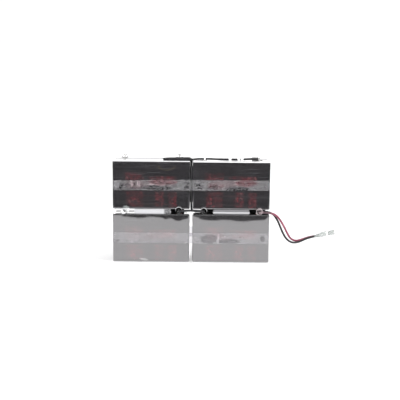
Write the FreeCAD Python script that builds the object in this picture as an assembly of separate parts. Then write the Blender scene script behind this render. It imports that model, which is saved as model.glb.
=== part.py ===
import FreeCAD, Part
import os, math
from FreeCAD import Vector as V

# Battery cartridge for an uninterruptible power supply: four 12 V sealed
# lead-acid blocks in two rows of two, terminals up, wired in series, each row
# held by a band of tape, with a red and a black output lead on the right.
# Millimetres, +X right, +Y to the back, +Z up, z = 0 on the shelf.

os.makedirs("parts", exist_ok=True)

# ---- driving dimensions -----------------------------------------------------
BLOCK_L = 152.0          # block length over the lid
BLOCK_D = 65.0           # block depth over the lid
BLOCK_H = 96.0           # block height to the top of the lid
LID_H = 16.0             # height of the lid
STEP = 0.2               # the case is this much smaller than the lid, each side
COL_GAP = 5.0            # gap between the two columns
ROW_GAP = 10.5           # gap between the two rows
WALL = 2.3               # outer wall of the case
FLOOR = 2.5
PART_WALL = 1.6          # wall between cells
CELLS = 6
TERM_X = 54.5            # terminal from the block's middle
TERM_Y = 14.0            # terminal from the block's front
TAB_TOP = 101.2          # top of the tab over the block's base
TAB_W, TAB_T = 6.35, 0.8
WIRE_D = 4.0             # outer diameter of every wire
TAPE_T = 0.3
TAPE_W = 21.0
TAPE_Z = 48.5            # middle of the band over the block's base
YF = -29.09              # front face of the blocks
YB = YF + BLOCK_D        # back face of the blocks
CX = (BLOCK_L + COL_GAP) / 2.0
UP = BLOCK_H + ROW_GAP   # base of the upper row

VOL_CHECK = []
made = {}


def box(x0, x1, y0, y1, z0, z1):
    return Part.makeBox(x1 - x0, y1 - y0, z1 - z0, V(x0, y0, z0))


def cyl(r, h, p, d=V(0, 0, 1)):
    return Part.makeCylinder(r, h, p, d)


def edges_where(s, test):
    out = []
    for e in s.Edges:
        b = e.BoundBox
        if test(e, b):
            out.append(e)
    return out


def vertical(e, b):
    return b.XLength < 1e-4 and b.YLength < 1e-4 and b.ZLength > 1.0


def export(name, shape):
    made[name] = shape
    shape.exportStep("parts/%s.step" % name)


# ---- one block, in its own frame: x about its middle, y from its front ------
CASE_H = BLOCK_H - LID_H
INNER_L = BLOCK_L - 2 * STEP - 2 * WALL
CELL_L = (INNER_L - (CELLS - 1) * PART_WALL) / CELLS
CELL_X = [-INNER_L / 2 + i * (CELL_L + PART_WALL) for i in range(CELLS)]
CELL_Y0 = STEP + WALL
CELL_Y1 = BLOCK_D - STEP - WALL
MID_Y = BLOCK_D / 2.0
PANEL_IN = 8.4           # panel edge from the block's end
PANEL_DEEP = 0.35
POCKET_TOP = 90.0        # ceiling of the lid over each cell
TROUGH_L, TROUGH_W = 138.0, 17.0
LEDGE_L, LEDGE_W = 142.0, 21.0
TROUGH_FLOOR = 87.0
VALVE_X = [x + CELL_L / 2 for x in CELL_X]
WELL = 13.0


def make_case():
    s = box(-BLOCK_L / 2 + STEP, BLOCK_L / 2 - STEP, STEP, BLOCK_D - STEP, 0, CASE_H)
    s = s.makeFillet(3.0, edges_where(s, vertical))
    s = s.makeFillet(2.6, edges_where(s, lambda e, b: b.ZMax < 1e-4))
    half = BLOCK_L / 2 - PANEL_IN
    s = s.cut(box(-half, half, -1, STEP + PANEL_DEEP, 4.0, CASE_H + 1))
    s = s.cut(box(-half, half, BLOCK_D - STEP - PANEL_DEEP, BLOCK_D + 1, 4.0, CASE_H + 1))
    for x in CELL_X:
        p = box(x, x + CELL_L, CELL_Y0, CELL_Y1, FLOOR, CASE_H + 1)
        p = p.makeFillet(1.0, edges_where(p, vertical))
        s = s.cut(p)
    return s


def make_lid():
    s = box(-BLOCK_L / 2, BLOCK_L / 2, 0, BLOCK_D, CASE_H, BLOCK_H)
    s = s.makeFillet(3.2, edges_where(s, vertical))
    s = s.makeFillet(2.2, edges_where(s, lambda e, b: b.ZMin > BLOCK_H - 1e-4))
    half = BLOCK_L / 2 - PANEL_IN
    s = s.cut(box(-half, half, -1, PANEL_DEEP, CASE_H - 1, BLOCK_H - 4.0))
    s = s.cut(box(-half, half, BLOCK_D - PANEL_DEEP, BLOCK_D + 1, CASE_H - 1, BLOCK_H - 4.0))
    for x in CELL_X:
        p = box(x, x + CELL_L, CELL_Y0, CELL_Y1, CASE_H - 1, POCKET_TOP)
        p = p.cut(box(x - 1, x + CELL_L + 1, MID_Y - 11.0, MID_Y + 11.0,
                      TROUGH_FLOOR - 2.0, POCKET_TOP + 1))
        s = s.cut(p)
    s = s.cut(box(-TROUGH_L / 2, TROUGH_L / 2, MID_Y - TROUGH_W / 2, MID_Y + TROUGH_W / 2,
                  TROUGH_FLOOR, BLOCK_H + 1))
    s = s.cut(box(-LEDGE_L / 2, LEDGE_L / 2, MID_Y - LEDGE_W / 2, MID_Y + LEDGE_W / 2,
                  BLOCK_H - 2.2, BLOCK_H + 1))
    for x in VALVE_X:
        s = s.fuse(cyl(4.5, 5.0, V(x, MID_Y, TROUGH_FLOOR)))
        s = s.cut(cyl(2.0, 9.0, V(x, MID_Y, TROUGH_FLOOR - 3.0)))
    for sx in (-1, 1):
        tx = sx * TERM_X
        w = box(tx - WELL / 2, tx + WELL / 2, TERM_Y - WELL / 2, TERM_Y + WELL / 2,
                BLOCK_H - 3.5, BLOCK_H + 1)
        w = w.makeFillet(1.5, edges_where(w, vertical))
        s = s.cut(w)
        s = s.cut(cyl(3.0, 6.0, V(tx, TERM_Y, POCKET_TOP - 1)))
    return s.removeSplitter()


def make_cover():
    c = 0.2
    s = box(-LEDGE_L / 2 + c, LEDGE_L / 2 - c, MID_Y - LEDGE_W / 2 + c,
            MID_Y + LEDGE_W / 2 - c, BLOCK_H - 2.2, BLOCK_H + 0.1)
    s = s.makeFillet(0.5, edges_where(s, lambda e, b: b.ZMin > BLOCK_H))
    for x in (-46.0, 0.0, 46.0):
        s = s.cut(box(x - 4, x + 4, MID_Y - LEDGE_W / 2 - 1, MID_Y - LEDGE_W / 2 + 1.2,
                      BLOCK_H - 3, BLOCK_H + 1))
    return s


def make_valves():
    out = []
    for x in VALVE_X:
        c = cyl(6.2, 6.1, V(x, MID_Y, TROUGH_FLOOR + 0.3))
        c = c.cut(cyl(4.55, 4.8, V(x, MID_Y, TROUGH_FLOOR + 0.2)))
        out.append(c)
    return Part.makeCompound(out)


def make_terminal(sx):
    tx = sx * TERM_X
    s = cyl(2.4, 14.2, V(tx, TERM_Y, 78.5))
    s = s.fuse(box(tx - 4, tx + 4, TERM_Y - 4, TERM_Y + 4, 92.5, 93.4))
    b = box(tx - TAB_T / 2, tx + TAB_T / 2, TERM_Y - TAB_W / 2, TERM_Y + TAB_W / 2, 93.3, TAB_TOP)
    top = edges_where(b, lambda e, q: q.XLength > 0.5 and q.YLength < 1e-4 and q.ZMin > TAB_TOP - 1e-3)
    b = b.makeChamfer(1.2, top)
    b = b.cut(cyl(0.8, 4, V(tx - 2, TERM_Y, 98.4), V(1, 0, 0)))
    return s.fuse(b).removeSplitter()


def make_seals(terms):
    out = []
    for sx, t in zip((-1, 1), terms):
        tx = sx * TERM_X
        w = box(tx - WELL / 2, tx + WELL / 2, TERM_Y - WELL / 2, TERM_Y + WELL / 2,
                BLOCK_H - 3.5, BLOCK_H - 1.6)
        w = w.makeFillet(1.5, edges_where(w, vertical))
        w = w.fuse(cyl(3.0, 2.5, V(tx, TERM_Y, POCKET_TOP)))
        out.append(w.cut(t))
    return Part.makeCompound(out)


def make_plates():
    out = []
    for x in CELL_X:
        s = box(x + 0.4, x + CELL_L - 0.4, CELL_Y0 + 0.4, CELL_Y1 - 0.4, FLOOR, 72.0)
        s = s.makeFillet(1.0, edges_where(s, vertical))
        for y0 in (TERM_Y - 4.0, BLOCK_D - TERM_Y - 4.0):
            s = s.fuse(box(x + 2.5, x + CELL_L - 2.5, y0, y0 + 8.0, 72.0, 78.5))
        out.append(s)
    return Part.makeCompound(out)


def place(shape, cx, z0, turned):
    s = shape.copy()
    if turned:
        s.rotate(V(0, MID_Y, 0), V(0, 0, 1), 180)
    s.translate(V(cx, YF, z0))
    return s


t_left, t_right = make_terminal(-1), make_terminal(1)
unit = {
    "case": make_case(),
    "lid": make_lid(),
    "vent_cover": make_cover(),
    "valves": make_valves(),
    "terminal_negative": t_left,
    "terminal_positive": t_right,
    "terminal_seals": make_seals((t_left, t_right)),
    "plate_packs": make_plates(),
}
# the upper left block is turned round, so that its terminals are at the back
BLOCKS = [("lower_left", -CX, 0.0, False), ("lower_right", CX, 0.0, False),
          ("upper_left", -CX, UP, True), ("upper_right", CX, UP, False)]
for bname, bx, bz, turned in BLOCKS:
    for piece, shape in unit.items():
        export("%s_%s" % (bname, piece), place(shape, bx, bz, turned))

# ---- strips between the rows, and the pad between the upper blocks ----------
STRIP_H = ROW_GAP
for side, x0, x1, bx0, bx1 in (("left", -112.0, -39.5, -112.0, -14.0), ("right", 43.0, 115.0, 18.0, 150.0)):
    for end, y0, y1 in (("front", YF - 0.9, YF + 14.5), ("back", YB - 17.0, YB - 3.0)):
        if end == "back":
            x0, x1 = bx0, bx1
        s = box(x0, x1, y0, y1, BLOCK_H, BLOCK_H + STRIP_H)
        if end == "front":
            # the strip bulges a little past the faces, with rounded ends
            s = s.makeFillet(2.6, edges_where(s, lambda e, b: vertical(e, b) and b.YMax < YF))
        export("spacer_%s_%s" % (side, end), s)
export("centre_pad", box(-COL_GAP / 2 - STEP, COL_GAP / 2 + STEP, YF + 30.0, YF + 60.0, UP + 8.0, UP + 79.0))

# ---- bands of tape round each row --------------------------------------------
HALF_W = BLOCK_L + COL_GAP / 2.0


def make_band(zc):
    hx, y0, y1 = HALF_W - STEP, YF + STEP, YB - STEP
    o = box(-hx - TAPE_T, hx + TAPE_T, y0 - TAPE_T, y1 + TAPE_T, zc - TAPE_W / 2, zc + TAPE_W / 2)
    o = o.makeFillet(3.3, edges_where(o, vertical))
    i = box(-hx, hx, y0, y1, zc - TAPE_W, zc + TAPE_W)
    i = i.makeFillet(3.0, edges_where(i, vertical))
    return o.cut(i)


export("tape_lower", make_band(TAPE_Z + 0.4))
export("tape_upper", make_band(UP + TAPE_Z - 0.3))


# ---- wires ------------------------------------------------------------------
def unit_vec(v):
    w = V(v)
    w.normalize()
    return w


def tube(name, pts, dia, hollow=None):
    """Straight runs joined by tangent arcs."""
    pts = [V(*p) for p in pts]
    n = len(pts)
    cuts = [None] * n
    radii = []
    for i in range(1, n - 1):
        a, b, c = pts[i - 1], pts[i], pts[i + 1]
        u, w = unit_vec(b - a), unit_vec(c - b)
        ang = math.acos(max(-1.0, min(1.0, u.dot(w))))
        run = min((b - a).Length, (c - b).Length)
        t = 0.45 * run
        r = t / math.tan(ang / 2)
        radii.append((round(r, 1), round(math.degrees(ang), 1)))
        p0, p1 = b - u * t, b + w * t
        bis = unit_vec(w - u)
        cc = b + bis * (r / math.cos(ang / 2))
        mid = cc - bis * r
        cuts[i] = (p0, mid, p1)
    edges = []
    cur = pts[0]
    for i in range(1, n - 1):
        p0, mid, p1 = cuts[i]
        edges.append(Part.LineSegment(cur, p0).toShape())
        edges.append(Part.Arc(p0, mid, p1).toShape())
        cur = p1
    edges.append(Part.LineSegment(cur, pts[-1]).toShape())
    wire = Part.Wire(edges)
    d0 = unit_vec(pts[1] - pts[0])
    prof = Part.Wire([Part.makeCircle(dia / 2.0, pts[0], d0)])
    s = wire.makePipeShell([prof], True, False)
    vol = math.pi * dia * dia / 4 * wire.Length
    runs = [round((pts[i + 1] - pts[i]).Length, 1) for i in range(n - 1)]
    print("%-20s length %.1f  volume/section*length %.4f  valid %s" % (name, wire.Length, s.Volume / vol, s.isValid()))
    print("    runs", runs)
    print("    radius, turn", radii)
    VOL_CHECK.append((name, s.Volume / vol))
    return s


F, B = YF, YB
TOP = UP + BLOCK_H      # top of the upper lids
BAR = 5.0               # barrel axis over the lid
LOW_BAR = 3.3           # the same for the upper right block's outer connector


def terminal_xy(block_cx, sx, turned):
    if turned:
        return block_cx - sx * TERM_X, YB - TERM_Y
    return block_cx + sx * TERM_X, YF + TERM_Y


LLN = terminal_xy(-CX, -1, False)
LLP = terminal_xy(-CX, 1, False)
LRN = terminal_xy(CX, -1, False)
LRP = terminal_xy(CX, 1, False)
ULN = terminal_xy(-CX, -1, True)
ULP = terminal_xy(-CX, 1, True)
URN = terminal_xy(CX, -1, False)
URP = terminal_xy(CX, 1, False)
Q = math.sqrt(0.5)
# each push-on connector: terminal, lid top, direction in which its wire leaves
FLAGS = {
    "lower_left": [(LLN, BLOCK_H, (0, 1)), (LLP, BLOCK_H, (0, -1))],
    "lower_right": [(LRN, BLOCK_H, (0, -1)), (LRP, BLOCK_H, (0, -1))],
    "upper_left": [(ULN, TOP, (0, 1)), (ULP, TOP, (0, 1))],
    "upper_right": [(URN, TOP, (-1, 0)), (URP, TOP, (-1, 0), LOW_BAR)],
}


def make_flag(txy, lid, d, bar=BAR):
    tx, ty = txy
    b = box(tx - 1.5, tx + 1.5, ty - 3.95, ty + 3.95, lid - 1.2, lid + 6.4)
    b = b.makeFillet(0.6, edges_where(b, vertical))
    dv = V(d[0], d[1], 0)
    near = 3.2 if abs(dv.y) > 0.5 else 1.0
    start = V(tx, ty, lid + bar) + dv * near
    b = b.fuse(cyl(2.7, 11.5 - near, start, dv))
    b = b.cut(cyl(2.1, 7.0, V(tx, ty, lid + bar) + dv * 5.0, dv))
    b = b.cut(box(tx - TAB_T / 2 - 0.03, tx + TAB_T / 2 + 0.03, ty - TAB_W / 2 - 0.05,
                  ty + TAB_W / 2 + 0.05, lid - 2, lid + TAB_TOP - BLOCK_H))
    return b


def ellipse_wire(c, u, w, a, b):
    """Ellipse about c, half width a along u, half height b along w."""
    if a >= b:
        e = Part.Ellipse(c + u * a, c + w * b, c) if a - b > 1e-6 else Part.Circle(c, u.cross(w), a)
    else:
        e = Part.Ellipse(c + w * b, c + u * a, c)
    return Part.Wire([e.toShape()])


def poly_ring(c, u, w, a, b, n=24):
    pts = []
    for k in range(n):
        t = 2 * math.pi * k / n
        pts.append(c + u * (a * math.cos(t)) + w * (b * math.sin(t)))
    pts.append(pts[0])
    return Part.makePolygon(pts)


def make_boot(txy, lid, sections, wall=0.8, trim=True):
    """Clear cover: sections are (x, y, z, half width, half height, (dx, dy))."""
    outer, inner = [], []
    for i, (x, y, z, a, b, d) in enumerate(sections):
        dv = unit_vec(V(d[0], d[1], 0))
        u = dv.cross(V(0, 0, 1))
        w = V(0, 0, 1)
        c = V(x, y, z)
        outer.append(poly_ring(c, u, w, a, b))
        ci = V(c)
        if i == 0:
            ci = c - dv * 0.5
        if i == len(sections) - 1:
            ci = c + dv * 0.5
        inner.append(poly_ring(ci, u, w, a - wall, b - wall))
    s = Part.makeLoft(outer, True, True).cut(Part.makeLoft(inner, True, True))
    tx, ty = txy
    s = s.cut(box(tx - 1.9, tx + 1.9, ty - 4.4, ty + 4.4, lid - 3, lid + 4))
    return s


def straight_sections(txy, lid, d, back=4.2, out=15.0, half=5.3, high=4.6):
    tx, ty = txy
    return [(tx - d[0] * back, ty - d[1] * back, lid + high + 0.12, half, high, d),
            (tx + d[0] * 5, ty + d[1] * 5, lid + high + 0.12, half, high, d),
            (tx + d[0] * out, ty + d[1] * out, lid + high + 0.12, half, high, d)]


def front_sections(txy, end_x, end_z, end_r, back=5.6):
    tx, ty = txy
    d = (0, -1)
    z = BLOCK_H
    return [(tx, ty + back, z + (4.8 if back < 8 else 4.95), 4.8, 4.8, d),
            (tx, F + 1.2, z + 4.7, 5.3, 4.6, d),
            (tx + (end_x - tx) * 0.5, F - 3.2, z + 5.2 + (end_z - z - 5.2) * 0.45, end_r - 0.6, end_r - 1.2, d),
            (end_x, F - 7.6, end_z, end_r, end_r, d)]


def make_hood(txy, lid):
    """Cover that runs out over the middle gap, open underneath for the wire."""
    tx, ty = txy
    d = (-1, 0)
    s = make_boot(txy, lid, [(tx + 4.2, ty, lid + 4.72, 5.3, 4.6, d), (tx - 6.0, ty, lid + 4.72, 5.3, 4.6, d),
                             (tx - 16.0, ty - 0.1, lid + 4.9, 4.5, 4.25, d),
                             (tx - 23.8, ty - 0.3, lid + 5.1, 3.6, 3.9, d)])
    return s.cut(box(tx - 27.0, tx - 14.0, ty - 2.6, ty + 2.2, lid - 2.0, lid + 5.2))


def make_tight_sleeve(txy, z):
    tx, ty = txy
    a = V(tx - 2.0, ty, z)
    return cyl(3.15, 12.5, a, V(-1, 0, 0)).cut(cyl(2.75, 14.5, a + V(1, 0, 0), V(-1, 0, 0)))


boots = {
    "lower_left": [make_boot(LLN, BLOCK_H, front_sections(LLN, -128.0, 107.6, 7.0, back=16.0)),
                   make_boot(LLP, BLOCK_H, front_sections(LLP, -24.3, 106.2, 6.8))],
    "lower_right": [make_boot(LRN, BLOCK_H, front_sections(LRN, 24.9, 105.2, 6.5)),
                    make_boot(LRP, BLOCK_H, front_sections(LRP, 134.2, 104.4, 6.6))],
    "upper_left": [make_boot(ULN, TOP, straight_sections(ULN, TOP, (0, 1), out=13.0)),
                   make_boot(ULP, TOP, straight_sections(ULP, TOP, (0, 1), out=13.0))],
    "upper_right": [make_hood(URN, TOP), make_tight_sleeve(URP, TOP + LOW_BAR)],
}
for bname in FLAGS:
    export(bname + "_connectors", Part.makeCompound([make_flag(*f) for f in FLAGS[bname]]))
    export(bname + "_connector_boots", Part.makeCompound(boots[bname]))

zb = BLOCK_H + BAR       # axis of the lower barrels
zt = TOP + BAR           # axis of the upper barrels
WS = 5.0                 # the wire starts this far from the terminal

export("jumper_lower", tube("jumper_lower", [
    (LLP[0], LLP[1] - WS, zb), (-24.0, F - 2.0, 101.0), (-23.6, F - 9.5, 104.6), (-17.0, F - 11.4, 105.9),
    (-7.0, F - 11.5, 106.3), (7.0, F - 11.5, 106.3), (17.0, F - 11.4, 105.9),
    (24.4, F - 9.5, 104.6), (24.0, F - 2.0, 101.0), (LRN[0], LRN[1] - WS, zb)], WIRE_D))

export("jumper_rise", tube("jumper_rise", [
    (LLN[0], LLN[1] + WS, zb), (-133.0, F + 44.0, 100.95), (-132.0, B + 4.4, 100.6),
    (-130.6, B + 3.4, 124.0), (-130.2, B + 3.1, 153.0), (-131.4, B + 3.8, 182.0),
    (-133.0, B + 4.8, zt), (ULP[0], ULP[1] + WS, zt)], WIRE_D))

export("jumper_top", tube("jumper_top", [
    (ULN[0], ULN[1] + WS, zt), (-24.0, B + 4.6, zt), (-19.0, B + 4.6, 193.5), (0.0, B + 4.6, 193.0),
    (0.0, B - 13.0, 193.4), (0.0, F + 24.0, 193.0), (0.0, F + 24.0, 205.0), (-14.0, F + 24.0, 204.85),
    (-28.0, F + 22.0, 204.8), (-48.5, F + 20.3, 204.75), (-56.5, F + 13.0, 204.75), (-48.5, F + 5.8, 204.75),
    (-36.0, F + 5.4, 204.75), (-14.0, F + 5.6, 204.8), (0.0, F + 5.4, 204.95), (14.0, F + 5.2, 206.6),
    (38.0, F + 5.2, 206.6), (54.0, F + 11.5, 204.85), (80.0, F + 12.5, 204.75), (98.0, F + 12.5, 204.75),
    (112.0, F + 14.0, TOP + LOW_BAR), (URP[0] - WS, URP[1], TOP + LOW_BAR)], WIRE_D))

export("lead_black_inner", tube("lead_black_inner", [
    (URN[0] - WS, URN[1], zt), (0.0, F + 13.8, zt), (0.0, F + 13.5, 193.0), (0.1, F + 16.0, 160.0),
    (0.0, F + 18.5, 126.0), (0.2, F + 22.0, 112.0), (0.5, F + 22.8, 98.7), (19.0, F + 24.2, 98.6),
    (46.0, F + 24.9, 98.4), (80.0, F + 24.4, 98.55), (112.0, F + 25.0, 98.5), (128.0, F + 24.2, 98.5),
    (140.6, F + 22.62, 98.945)], WIRE_D))

export("lead_red_inner", tube("lead_red_inner", [
    (LRP[0], LRP[1] - WS, zb), (133.0, F - 4.6, 101.1), (138.8, F - 11.5, 104.2), (147.0, F - 9.914, 103.31)], WIRE_D))

# free parts of the two output leads, which spring out of the right-hand side
BLACK = [(140.6, F + 22.62, 98.945), (152.5, F + 21.13, 99.365), (163.4, F + 19.0, 94.6),
         (171.2, F + 17.5, 83.6), (177.2, F + 16.6, 69.4), (183.2, F + 16.7, 55.4),
         (190.8, F + 18.3, 43.4), (202.0, F + 21.5, 36.2), (215.5, F + 26.0, 37.0),
         (228.5, F + 31.5, 42.4), (243.0, F + 37.5, 45.4), (257.5, F + 42.6, 48.0)]
RED = [(147.0, F - 9.914, 103.31), (159.4, F - 7.516, 101.964), (169.8, F - 1.4, 94.6),
       (177.7, F + 5.8, 83.0), (185.2, F + 12.0, 69.6), (191.8, F + 17.0, 55.4),
       (198.8, F + 22.0, 44.2), (209.5, F + 28.4, 38.6), (222.8, F + 36.0, 40.8),
       (236.6, F + 43.6, 43.8), (249.8, F + 49.6, 45.0), (262.4, F + 53.6, 46.4), (274.6, F + 56.2, 48.4)]
export("lead_black", tube("lead_black", BLACK, WIRE_D))
export("lead_red", tube("lead_red", RED, WIRE_D))


# ---- push-on connectors at the ends of the leads ----------------------------
def end_frame(p, q):
    u = unit_vec(V(*q) - V(*p))
    n = unit_vec(V(0, 0, 1).cross(u))
    w = unit_vec(u.cross(n))
    return V(*q), u, n, w


def local(shape, o, u, n, w):
    m = FreeCAD.Matrix(u.x, n.x, w.x, o.x, u.y, n.y, w.y, o.y, u.z, n.z, w.z, o.z, 0, 0, 0, 1)
    pl = FreeCAD.Placement(m)
    s = shape.copy()
    s.Placement = pl.multiply(s.Placement)
    return s


def make_end_connector():
    # x along the lead, z across the flat of the connector
    s = Part.makeCylinder(2.6, 5.0, V(0.0, 0, 0), V(1, 0, 0))
    s = s.fuse(box(4.0, 8.0, -1.1, 1.1, -2.4, 2.4))
    b = box(7.0, 18.5, -1.25, 1.25, -3.85, 3.85)
    b = b.makeFillet(0.6, edges_where(b, lambda e, q: q.XLength > 5))
    s = s.fuse(b)
    s = s.cut(box(9.5, 20.0, -0.45, 0.45, -3.25, 3.25))
    s = s.cut(box(7.6, 20.0, -2.0, 0.0, -0.7, 0.7))
    return s.removeSplitter()


def make_end_sleeve():
    u, w = V(0, 1, 0), V(0, 0, 1)
    secs = [(-11.0, 2.75, 2.75), (-1.0, 3.2, 3.6), (5.0, 3.2, 5.0), (15.5, 3.2, 5.2)]
    outer = [poly_ring(V(x, 0, 0), u, w, a, b) for x, a, b in secs]
    inner = []
    for i, (x, a, b) in enumerate(secs):
        xx = x - 0.5 if i == 0 else (x + 0.5 if i == len(secs) - 1 else x)
        inner.append(poly_ring(V(xx, 0, 0), u, w, a - 0.5, b - 0.5))
    return Part.makeLoft(outer, True, True).cut(Part.makeLoft(inner, True, True))


conn, slv = make_end_connector(), make_end_sleeve()
for tag, pts in (("black", BLACK), ("red", RED)):
    fr = end_frame(pts[-2], pts[-1])
    export("end_connector_" + tag, local(conn, *fr))
    export("end_sleeve_" + tag, local(slv, *fr))

# ---- tabs of tape that hold the top wire on the lid, and a wrap round it -----
def make_tab(x0, x1):
    t = 0.3
    line = [(8.4, 0.0), (9.2, 0.0), (10.6, 4.6), (14.6, 4.6), (16.8, 0.0), (19.4, 0.0)]
    over = [(8.4, t), (9.0, t), (10.4, 4.6 + t), (14.8, 4.6 + t), (17.0, t), (19.4, t)]
    pts = [V(x0, F + y, TOP + z) for y, z in line] + [V(x0, F + y, TOP + z) for y, z in reversed(over)]
    pts.append(pts[0])
    return Part.Face(Part.makePolygon(pts)).extrude(V(x1 - x0, 0, 0))


export("wire_tape_tabs", Part.makeCompound([make_tab(73.0, 78.0), make_tab(90.4, 94.6), make_tab(96.6, 101.6)]))
wrap_dir = V(1, 0, 0)
wrap_at = V(24.7, F + 5.2, 206.6)
export("wire_wrap", cyl(2.62, 2.6, wrap_at, wrap_dir).cut(cyl(2.1, 4.0, wrap_at - wrap_dir * 0.7, wrap_dir)))

bb = None
for name, s in made.items():
    if name.startswith("end_") or name in ("lead_black", "lead_red"):
        continue
    b = s.BoundBox
    if bb is None:
        bb = FreeCAD.BoundBox(b)
    else:
        bb.add(b)
print("nodes", len(made))
print("box without the leads: x %.2f %.2f  y %.2f %.2f  z %.2f %.2f" % (bb.XMin, bb.XMax, bb.YMin, bb.YMax, bb.ZMin, bb.ZMax))
print("middle y %.3f" % ((bb.YMin + bb.YMax) / 2))
bad = [n for n, s in made.items() if not s.isValid()]
print("invalid", bad)
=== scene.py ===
import math
import random

import bmesh
import bpy
from mathutils import Euler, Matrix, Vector, noise


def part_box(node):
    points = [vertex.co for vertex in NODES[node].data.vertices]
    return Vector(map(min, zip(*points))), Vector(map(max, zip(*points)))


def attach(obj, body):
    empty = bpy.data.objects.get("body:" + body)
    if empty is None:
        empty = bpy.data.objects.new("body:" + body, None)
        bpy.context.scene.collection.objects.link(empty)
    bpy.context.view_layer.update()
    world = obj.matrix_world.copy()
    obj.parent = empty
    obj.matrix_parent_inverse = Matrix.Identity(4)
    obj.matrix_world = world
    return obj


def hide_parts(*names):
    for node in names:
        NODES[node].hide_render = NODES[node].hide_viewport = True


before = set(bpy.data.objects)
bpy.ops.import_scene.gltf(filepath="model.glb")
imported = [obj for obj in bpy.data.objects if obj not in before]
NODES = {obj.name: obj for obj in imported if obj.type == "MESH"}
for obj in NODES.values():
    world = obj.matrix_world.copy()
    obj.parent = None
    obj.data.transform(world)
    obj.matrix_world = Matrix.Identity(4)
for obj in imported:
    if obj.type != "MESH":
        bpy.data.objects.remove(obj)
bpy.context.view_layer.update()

MM = 0.001
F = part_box("lower_right_lid")[0].y * 1000.0        # front face of the blocks, mm
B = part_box("lower_right_lid")[1].y * 1000.0        # back face
BASE_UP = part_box("upper_right_case")[0].z * 1000.0  # underside of the upper row
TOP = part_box("upper_right_lid")[1].z * 1000.0       # top of the upper lids
LEFT0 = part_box("lower_left_lid")[0].x * 1000.0      # left end of the left column
RIGHT0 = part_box("lower_right_lid")[0].x * 1000.0    # left end of the right column
BLOCK_L = 152.0
BLOCK_H = 96.0
WIRE_R = 2.0

coll = bpy.context.scene.collection


# ---------------------------------------------------------------------------
# camera
# ---------------------------------------------------------------------------
cam_data = bpy.data.cameras.new("camera")
cam_data.sensor_width = 36.0
cam_data.lens = 107.7
cam_data.clip_start = 0.05
cam_data.clip_end = 200.0
cam = bpy.data.objects.new("camera", cam_data)
coll.objects.link(cam)
eye = Vector((0.017, F * MM - 2.311, 0.551))
aim = Vector((0.0173, F * MM, 0.1256))
rot = (aim - eye).to_track_quat("-Z", "Y") @ Euler((0, 0, math.radians(0.5))).to_quaternion()
cam.location = eye
cam.rotation_mode = "QUATERNION"
cam.rotation_quaternion = rot
bpy.context.scene.camera = cam


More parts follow.
